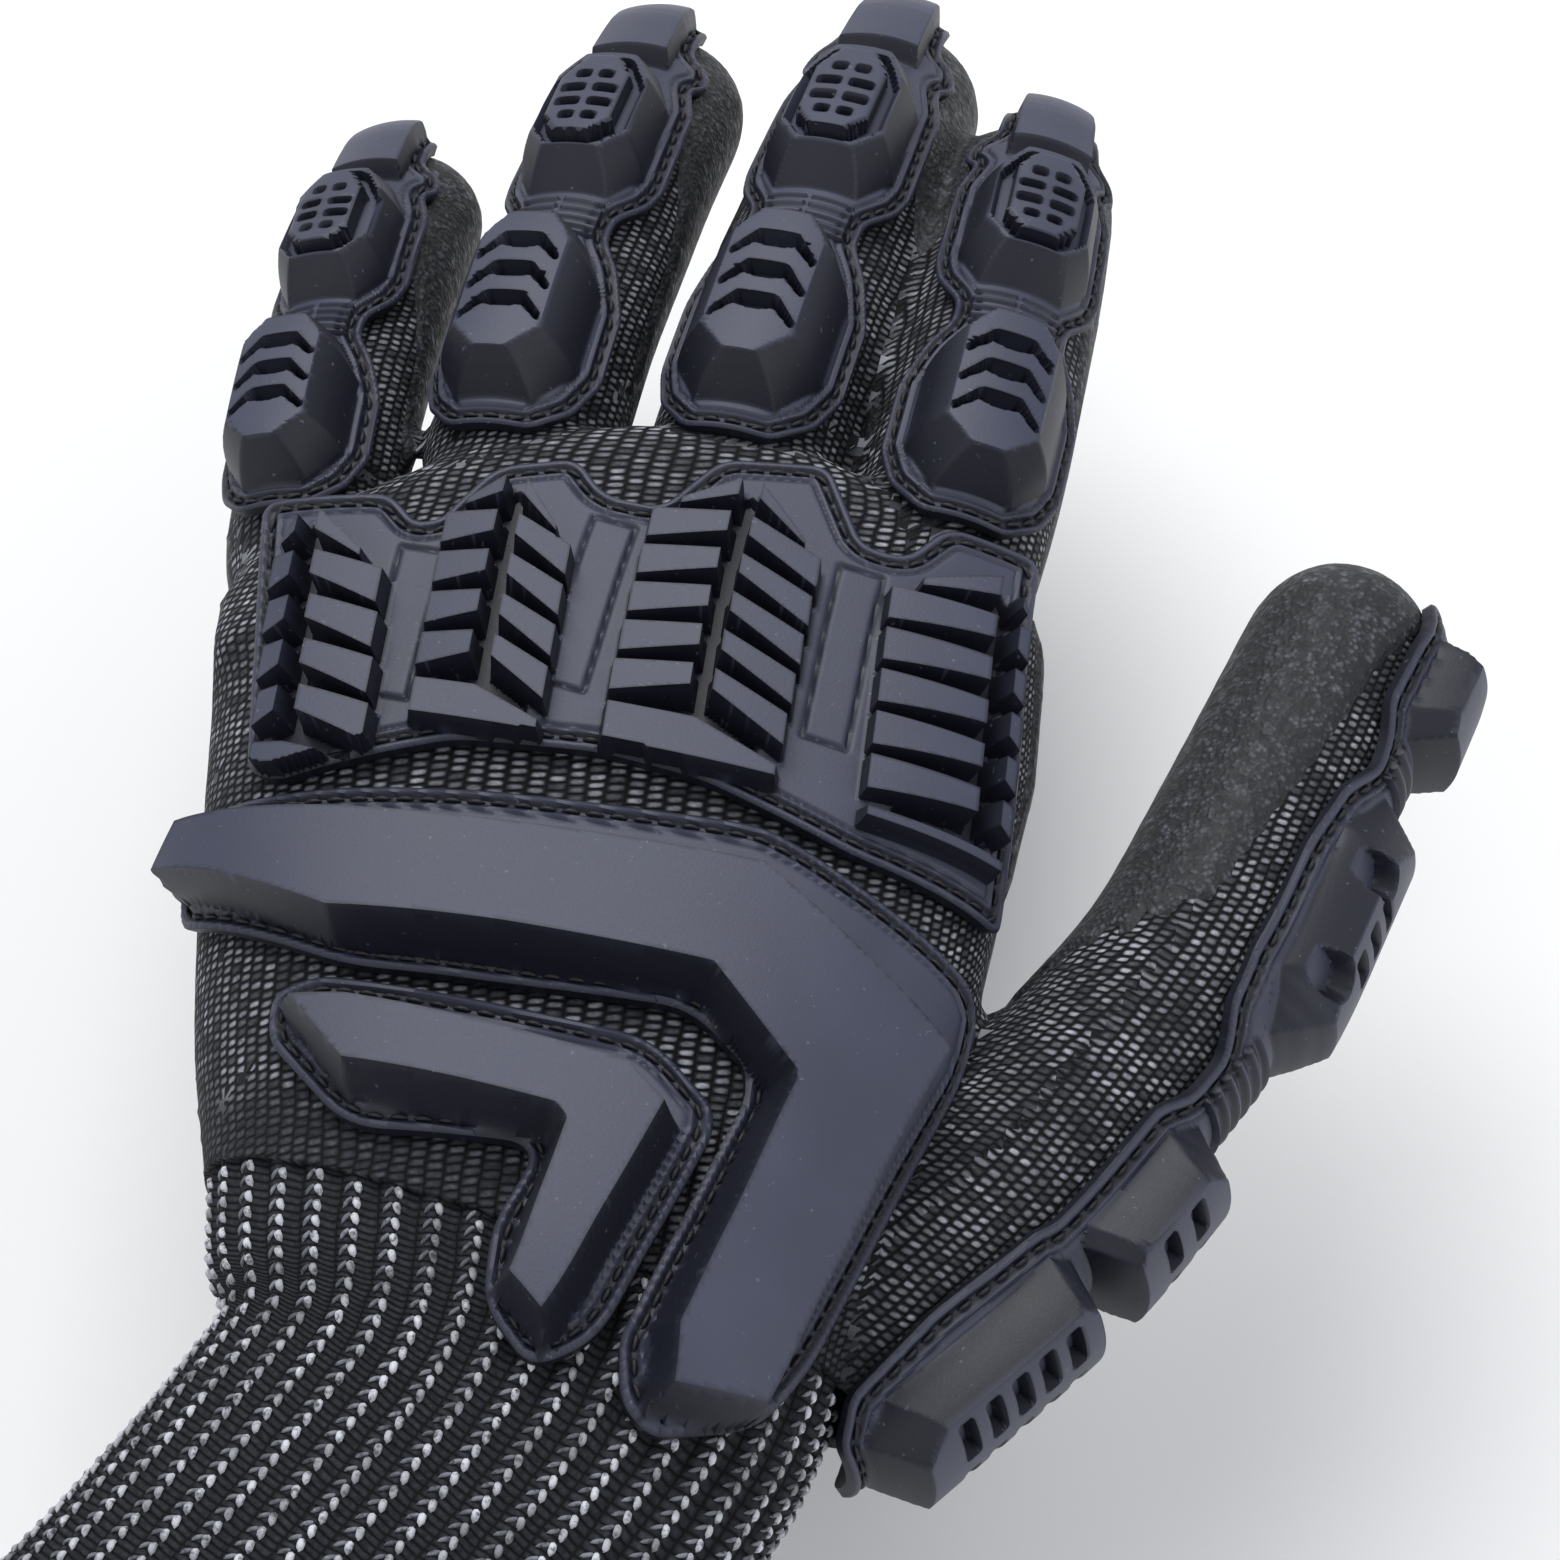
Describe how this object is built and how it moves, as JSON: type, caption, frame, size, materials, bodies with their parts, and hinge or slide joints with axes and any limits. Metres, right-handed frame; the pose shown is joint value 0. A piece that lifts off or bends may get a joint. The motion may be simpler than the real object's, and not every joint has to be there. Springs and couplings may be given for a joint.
{
  "type": "impact glove",
  "caption": "Knitted left-hand work glove in its worn form, with moulded rubber impact guards over the back and fingers, a dipped palm and a ribbed cuff.",
  "frame": {"origin": "middle of the wrist, inside the glove, where the hand that holds its form passes through", "axes": "+Y from the wrist to the fingertips, +Z out of the back of the hand, +X to the thumb"},
  "size_m": [0.1648, 0.2947, 0.0593],
  "materials": {
    "knit": "speckled dark grey heather knit",
    "palm_coating": "sandy matt dipped rubber",
    "moulded_guard": "matt moulded rubber, dark slate",
    "hem": "black overlocked hem"
  },
  "bodies": {
    "root": {"knit_liner": "knit", "palm_coating": "palm_coating", "cuff_hem": "hem", "little_finger_guard": "moulded_guard", "ring_finger_guard": "moulded_guard", "middle_finger_guard": "moulded_guard", "index_finger_guard": "moulded_guard", "thumb_guard": "moulded_guard", "knuckle_guard": "moulded_guard", "large_back_pad": "moulded_guard", "small_back_pad": "moulded_guard"}
  },
  "joints": []
}
